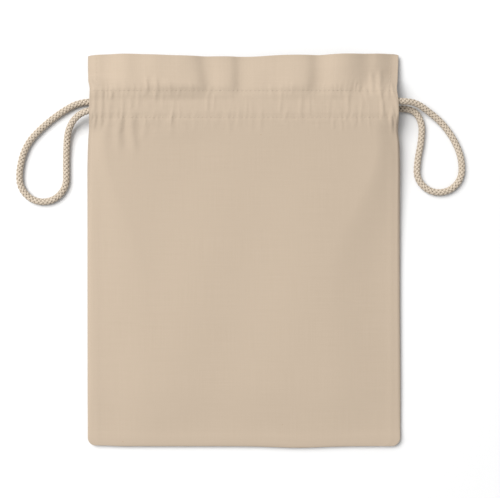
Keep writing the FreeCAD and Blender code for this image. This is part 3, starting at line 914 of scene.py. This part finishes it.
def tube_faces(rows, around, start, outward):
    """Faces of an open tube whose points are numbered ring by ring from start."""
    index = np.arange(rows * around).reshape(rows, around) + start
    after = np.roll(index, -1, axis=1)
    corners = [index[:-1], after[:-1], after[1:], index[1:]]
    if not outward:
        corners = [corners[k] for k in (0, 3, 2, 1)]
    return np.stack(corners, axis=-1).reshape(-1, 4)


UP = (0, 0, 1)
BRAID_PITCH = 13.4
STRANDS = 4  # each way round
STRAND_MEAN, STRAND_SWAY = 2.00, 0.30  # distance from the cord's middle
STRAND_WIDE, STRAND_THICK = 0.96, 0.48
CORE_RADIUS = 1.74


def braid(name, points, last_up=UP, spacing=0.55, around=7):
    """A round braid of strands that pass over one and under one, along a line."""
    line, along = resample(points, spacing)
    ups, sides = frames(line, UP, last_up)
    phase = along / BRAID_PITCH
    ring = np.linspace(0, FULL_TURN, around, endpoint=False)
    rows = len(line)
    verts, faces, uv, count = [], [], [], 0
    # the core's texture place is 0 all round, so the yarn material paints it at full painted shade: a dark core that
    # stands in for the shade in the gaps between the strands
    core = line[:, None] + CORE_RADIUS * (
        ups[:, None] * np.cos(ring)[None, :, None] + sides[:, None] * np.sin(ring)[None, :, None]
    )
    tubes = [(core, np.zeros(around))]
    for way in (1, -1):
        for strand in range(STRANDS):
            turn = way * phase + strand / STRANDS
            crossing = STRANDS * (turn + way * phase)
            lift = way * np.cos(math.pi * (crossing + strand))
            radius = STRAND_MEAN + STRAND_SWAY * np.clip(lift * 1.4, -1, 1)
            angle = FULL_TURN * turn
            out = ups * np.cos(angle)[:, None] + sides * np.sin(angle)[:, None]
            centre = line + out * radius[:, None]
            heading = unit(np.gradient(centre, axis=0))
            across = unit(np.cross(out, heading))
            face_out = np.cross(heading, across)
            tube = (
                centre[:, None]
                + across[:, None] * (np.cos(ring) * STRAND_WIDE)[None, :, None]
                + face_out[:, None] * (np.sin(ring) * STRAND_THICK)[None, :, None]
            )
            tubes.append((tube, ring / FULL_TURN))
    for number, (tube, place_round) in enumerate(tubes):
        verts.append(tube.reshape(-1, 3))
        faces.append(tube_faces(rows, around, count, outward=True))
        places = np.broadcast_arrays(along[:, None] * 0.001 + number * 0.37, place_round[None])
        uv.append(np.stack(places, axis=-1).reshape(-1, 2))
        count += rows * around
    mesh = [np.concatenate(part) for part in (verts, faces, uv)]
    return add_mesh(name, mesh[0], mesh[1], CORD_MATERIAL, mesh[2]), line


def cord_pieces(side, far, route, length):
    """The free loop, the two channel runs, the turn round the far slit and the splice."""
    front, back = middle(f"{side}_cord_front_run"), middle(f"{side}_cord_back_run")
    loop_points = spline_points(f"{side}_route", route)
    loop, line = braid(f"{side}_loop", loop_points)
    body = f"{side}_cord"
    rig.ride(loop, body)
    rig.replaces(loop, f"{side}_cord_loop")
    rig.cord(
        loop,
        exit=tuple(loop_points[0] * 0.001),
        length=length,
        diameter=2 * CORD_RADIUS * 0.001,
        far_end="object",
        stiffness="limp",
        lay="loose",
        path=(line * 0.001).tolist(),
    )
    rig.slot(loop, "braided_cord")
    low, high = mm_box(f"{side}_cord_front_run")
    near_x, far_x = (low[0], high[0]) if far > 0 else (high[0], low[0])
    for level, centre in (("front", front), ("back", back)):
        ends = np.array([(near_x, *centre[1:]), (far_x, *centre[1:])], float)
        run, _ = braid(f"{side}_{level}_run", ends, spacing=1.0, around=6)
        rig.ride(run, body)
        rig.replaces(run, f"{side}_cord_{level}_run")
        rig.slot(run, "braided_cord")
    spread = (front - back)[1:] / 2
    radius = float(np.hypot(*spread))
    centre = (front + back) / 2
    angles = np.linspace(0, math.pi, 30)
    turn = np.stack(
        [
            far_x + far * radius * np.sin(angles),
            centre[1] + spread[0] * np.cos(angles),
            centre[2] + spread[1] * np.cos(angles),
        ],
        axis=1,
    )
    bend, _ = braid(f"{side}_turn", turn, last_up=(0, 0, -1), spacing=0.7, around=6)
    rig.ride(bend, body)
    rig.replaces(bend, f"{side}_cord_return")
    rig.slot(bend, "braided_cord")
    low, high = mm_box(f"{side}_cord_splice")
    centre = (low + high) / 2
    turns = 24
    angle = np.linspace(0, FULL_TURN * turns, turns * 16)
    wound = np.stack(
        [
            np.linspace(low[0] + 0.3, high[0] - 0.3, len(angle)),
            centre[1] + (CORD_RADIUS + 0.05) * np.cos(angle),
            centre[2] + (CORD_RADIUS + 0.05) * np.sin(angle),
        ],
        axis=1,
    )
    whipping = thread_piece(f"{side}_splice", [(wound, 0.16)])
    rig.ride(whipping, body)
    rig.replaces(whipping, f"{side}_cord_splice")
    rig.slot(whipping, "sewing_thread")


# ---------------------------------------------------------------- thread


def thread_piece(name, strands):
    """Thin round threads as one mesh; each is its line and its radius."""
    around = 6
    verts, faces, uv, count = [], [], [], 0
    ring = np.linspace(0, FULL_TURN, around, endpoint=False)
    for line, radius in strands:
        tangent = unit(np.gradient(line, axis=0))
        up = np.where(np.abs(tangent[:, 2:3]) > 0.9, (1.0, 0, 0), (0, 0, 1.0))
        side = unit(np.cross(tangent, up))
        top = np.cross(side, tangent)
        taper = np.full(len(line), radius)
        taper[[0, -1]] *= 0.45
        tube = (
            line[:, None]
            + side[:, None] * np.cos(ring)[None, :, None] * taper[:, None, None]
            + top[:, None] * np.sin(ring)[None, :, None] * taper[:, None, None]
        )
        verts.append(tube.reshape(-1, 3))
        faces.append(tube_faces(len(line), around, count, outward=False))
        spacing = np.linalg.norm(np.diff(line, axis=0), axis=1)
        along = np.cumsum(np.concatenate([[0], spacing])) * 0.001 + line[0, 0] * 0.01
        places = np.broadcast_arrays(along[:, None], ring[None] / FULL_TURN)
        uv.append(np.stack(places, axis=-1).reshape(-1, 2))
        count += len(line) * around
    mesh = [np.concatenate(part) for part in (verts, faces, uv)]
    return add_mesh(name, mesh[0], mesh[1], THREAD_MATERIAL, mesh[2])


STITCH_RADIUS = 0.17
# how high a stitch's seven points lie above the cloth, its ends sunk in their needle holes
STITCH_ARCH = np.array([-0.30, 0.02, 0.12, 0.14, 0.12, 0.02, -0.30])


def stitch(height, start, end):
    """One lockstitch on top of the sack's surface."""
    t = np.linspace(0, 1, len(STITCH_ARCH))
    x = start[0] + (end[0] - start[0]) * t
    y = start[1] + (end[1] - start[1]) * t
    points = surface(height, x, y)
    points[:, 2] += CLOTH / 2 + STITCH_ARCH
    return points, STITCH_RADIUS


def stitch_row(height, start, end, pitch=3.5, length=2.7):
    """Stitches from start to end, both places on the plain rectangle."""
    start, end = np.array(start, float), np.array(end, float)
    count = int(np.linalg.norm(end - start) / pitch)
    step = (end - start) / count
    share = length / pitch
    rows = []
    for k in range(count):
        first = start + step * (k + (1 - share) / 2)
        rows.append(stitch(height, first, first + step * share))
    return rows


def seam_stitches(first, last, place):
    """Level stitches between two distances along a seam; place gives the point at a distance."""
    starts = np.arange(first, last, 3.6)
    lines = [np.array([place(t) for t in np.arange(start, start + 2.8, 0.4)]) for start in starts]
    return [(line, STITCH_RADIUS) for line in lines]


def panel_stitches(panel, height):
    """The channel's two rows and the slit's hem row, on each half of a panel."""
    made = {}
    for side, sign in SIDES:
        strands = []
        for y in (UPPER_SEAM, LOWER_SEAM):
            strands += stitch_row(height, (0, y), (sign * (HALF_WIDTH - 0.8), y))
        x = sign * (HALF_WIDTH - 6.2)
        start, end = (x, UPPER_SEAM + 3), (x, HALF_LENGTH - 1.5)
        strands += stitch_row(height, start, end, pitch=3.2, length=2.4)
        piece = thread_piece(f"{panel}_stitching_{side}", strands)
        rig.replaces(
            piece,
            f"{panel}_upper_channel_stitching",
            f"{panel}_lower_channel_stitching",
            f"{panel}_{side}_slit_stitching",
        )
        made[side] = piece
    return made


# ---------------------------------------------------------------- seam allowances


def allowance(name, corners, node_name):
    """Two layers of raw-edged cloth, lying flat, as one piece; corners are x0, x1, y0, y1."""
    x0, x1, y0, y1 = corners
    cloth = Cloth()
    low = float(mm_box(node_name)[0][2])
    for layer, z in enumerate((low + 0.22, low + 0.74)):
        x, y = np.meshgrid(steps(x0, [(x1, 1.2)]), steps(y0, [(y1, 1.6)]))
        trim = 0.3 * layer / 600
        z = z + 0.06 * soft_noise(x, y, 14, 14, 60 + layer)
        grid = np.stack([x * (1 - trim), y, z], axis=-1)
        uv = np.stack([x, y], axis=-1) * 0.001
        cloth.sheet(grid, uv, grid_normals(grid), thick=0.4)
    piece = cloth.make(name)
    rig.replaces(piece, node_name)
    return piece


def overlock_threads(start, end, inward, z):
    """Looped threads over a raw edge: a zigzag across it and a chain along it."""
    pitch, reach = 3.0, 4.6
    start, end, inward = (np.array(v, float) for v in (start, end, inward))
    count = int(np.linalg.norm(end - start) / pitch)
    step = (end - start) / count
    strands = []
    for k in range(count):
        line = []
        for across, along in ((0, 0), (0.5, 0.18), (1, 0.45), (0.5, 0.72), (0, 1.0)):
            flat = start + step * k + inward * reach * across + step * along
            line.append([*flat, z + 0.06 * (across > 0.2)])
        strands.append((np.array(line), 0.13))
    shares = np.linspace(0, 1, count * 2)
    chain = np.array([[*(start + (end - start) * t), z + 0.05] for t in shares])
    strands.append((chain, 0.15))
    return strands


def follow(halves):
    """Each half bends from the middle of the sack, which stays, to its own side."""
    for side, sign in SIDES:
        start, end = (0, 0, 0), (sign * HALF_WIDTH * 0.001, 0, 0)
        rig.blend(halves[side], "sack", f"{side}_side", start=start, end=end)


# ---------------------------------------------------------------- camera, floor and light


def camera_and_stage():
    camera = bpy.data.objects.new("camera", bpy.data.cameras.new("camera"))
    camera.data.lens = 85
    camera.data.clip_start = 0.01
    camera.location = (0.005, 0.0015, 0.9545)
    bpy.context.scene.collection.objects.link(camera)
    bpy.context.scene.camera = camera
    floor_mesh = bpy.data.meshes.new("floor")
    corners = [(-3, -3, 0), (3, -3, 0), (3, 3, 0), (-3, 3, 0)]
    floor_mesh.from_pydata(corners, [], [(0, 1, 2, 3)])
    floor = bpy.data.objects.new("floor", floor_mesh)
    floor.location.z = -0.0001
    bpy.context.scene.collection.objects.link(floor)
    material, _, shader = new_material("floor")
    shader.inputs["Base Color"].default_value = (0.71, 0.71, 0.71, 1)
    shader.inputs["Roughness"].default_value = 1.0
    shader.inputs["Specular IOR Level"].default_value = 0.0
    floor_mesh.materials.append(material)
    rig.stage(floor)
    world = bpy.data.worlds.new("studio")
    world.use_nodes = True
    background = world.node_tree.nodes["Background"]
    background.inputs["Color"].default_value = (1, 1, 1, 1)
    background.inputs["Strength"].default_value = 0.46
    bpy.context.scene.world = world
    for name, place_m, size, power in (
        ("key", (-1.62, 1.12, 3.00), 2.4, 176.0),
        ("fill", (0.9, -0.5, 1.5), 1.2, 1.5),
    ):
        light = bpy.data.objects.new(name, bpy.data.lights.new(name, "AREA"))
        light.data.size = size
        light.data.energy = power
        light.location = place_m
        light.rotation_euler = (-Vector(place_m)).to_track_quat("-Z", "Y").to_euler()
        bpy.context.scene.collection.objects.link(light)
    bpy.context.scene.view_settings.view_transform = "Standard"


# ---------------------------------------------------------------- assembly

camera_and_stage()
cord_pieces("left", 1, LEFT_ROUTE, length=0.230)
cord_pieces("right", -1, RIGHT_ROUTE, length=0.218)

# half a panel as cut, in metres: its side seam allowance, and its facing past the top fold
PANEL_CUT = (0.134, 0.381)

front = cloth_halves("front_cloth", front_outer, front_facing, 0.42, -0.55)
back = cloth_halves("back_cloth", back_outer, back_facing, 0.35, 0.55)
for halves, panel in ((front, "front"), (back, "back")):
    for side, piece in halves.items():
        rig.replaces(piece, f"{panel}_panel", f"{panel}_hem_facing")
        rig.slot(piece, "cotton_cloth")
        rests_on = ["floor"] if panel == "back" else [back[side]]
        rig.sheet(piece, flat=PANEL_CUT, held="gathered", rests_on=rests_on)
    follow(halves)

for panel, height in (("front", front_outer), ("back", back_facing)):
    halves = panel_stitches(panel, height)
    for piece in halves.values():
        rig.slot(piece, "sewing_thread")
    follow(halves)

EDGE_THREAD_LIFT = 0.12  # of the overlock above its allowance
EDGE_STITCH_DROP = 0.1  # of the seam's stitches below it


def bottom_seam():
    """The bottom allowance, its overlock and its stitches, on each half of the sack."""
    node_name = "bottom_seam_allowance"
    low, high = mm_box(node_name)
    strips, threads = {}, {}
    for side, sign in SIDES:
        x0, x1 = sorted((0, low[0] if sign < 0 else high[0]))
        corners = (x0, x1, low[1] + 1, high[1])
        strips[side] = allowance(f"bottom_allowance_{side}", corners, node_name)
        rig.slot(strips[side], "cotton_cloth")
    for side, sign in SIDES:
        end = (sign * (high[0] - 1), high[1])
        lift = float(high[2]) + EDGE_THREAD_LIFT
        strands = overlock_threads((0, high[1]), end, (0, -1), lift)
        y, z = low[1] + 1.8, low[2] - EDGE_STITCH_DROP
        strands += seam_stitches(0.4, high[0] - 4, lambda t: (sign * t, y, z))
        threads[side] = thread_piece(f"bottom_thread_{side}", strands)
        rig.replaces(threads[side], "bottom_overlock", "bottom_seam_stitching")
        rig.slot(threads[side], "sewing_thread")
    follow(strips)
    follow(threads)


def side_seam(side, sign):
    """A side allowance, its overlock and its stitches, and the bar tack at the slit's foot."""
    node_name = f"{side}_side_seam_allowance"
    low, high = mm_box(node_name)
    inner = high[0] if side == "left" else low[0]
    x0, x1 = sorted((inner, sign * (HALF_WIDTH - 1.2)))
    strip = allowance(f"{side}_allowance", (x0, x1, low[1], high[1]), node_name)
    start, end = (inner, low[1] + 1), (inner, high[1] - 1)
    strands = overlock_threads(start, end, (sign, 0), float(high[2]) + EDGE_THREAD_LIFT)
    x, z = sign * (HALF_WIDTH - 2.0), low[2] - EDGE_STITCH_DROP
    strands += seam_stitches(low[1] + 1, high[1] - 4, lambda t: (x, t, z))
    sewing = thread_piece(f"{side}_seam_thread", strands)
    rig.replaces(sewing, f"{side}_side_overlock", f"{side}_side_seam_stitching")
    tack_low, tack_high = mm_box(f"{side}_slit_bar_tack")
    arch = np.sin(np.linspace(0, math.pi, 6))
    bars = []
    for k, x in enumerate(np.arange(tack_low[0] + 0.3, tack_high[0] - 0.2, 0.42)):
        ys = np.linspace(tack_low[1], tack_high[1], len(arch))
        zs = tack_low[2] + 0.35 + 0.25 * arch
        bars.append((np.stack([np.full(len(arch), x) + 0.1 * (k % 2), ys, zs], axis=1), 0.2))
    tack = thread_piece(f"{side}_tack", bars)
    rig.replaces(tack, f"{side}_slit_bar_tack")
    slots = ((strip, "cotton_cloth"), (sewing, "sewing_thread"), (tack, "sewing_thread"))
    for piece, slot in slots:
        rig.ride(piece, f"{side}_side")
        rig.slot(piece, slot)


bottom_seam()
for side, sign in SIDES:
    side_seam(side, sign)

with open("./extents.json", "w") as out:
    final = [list(map(float, corner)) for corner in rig.bounds()]
    json.dump({"cad": CAD_BOX, "visual": final}, out)
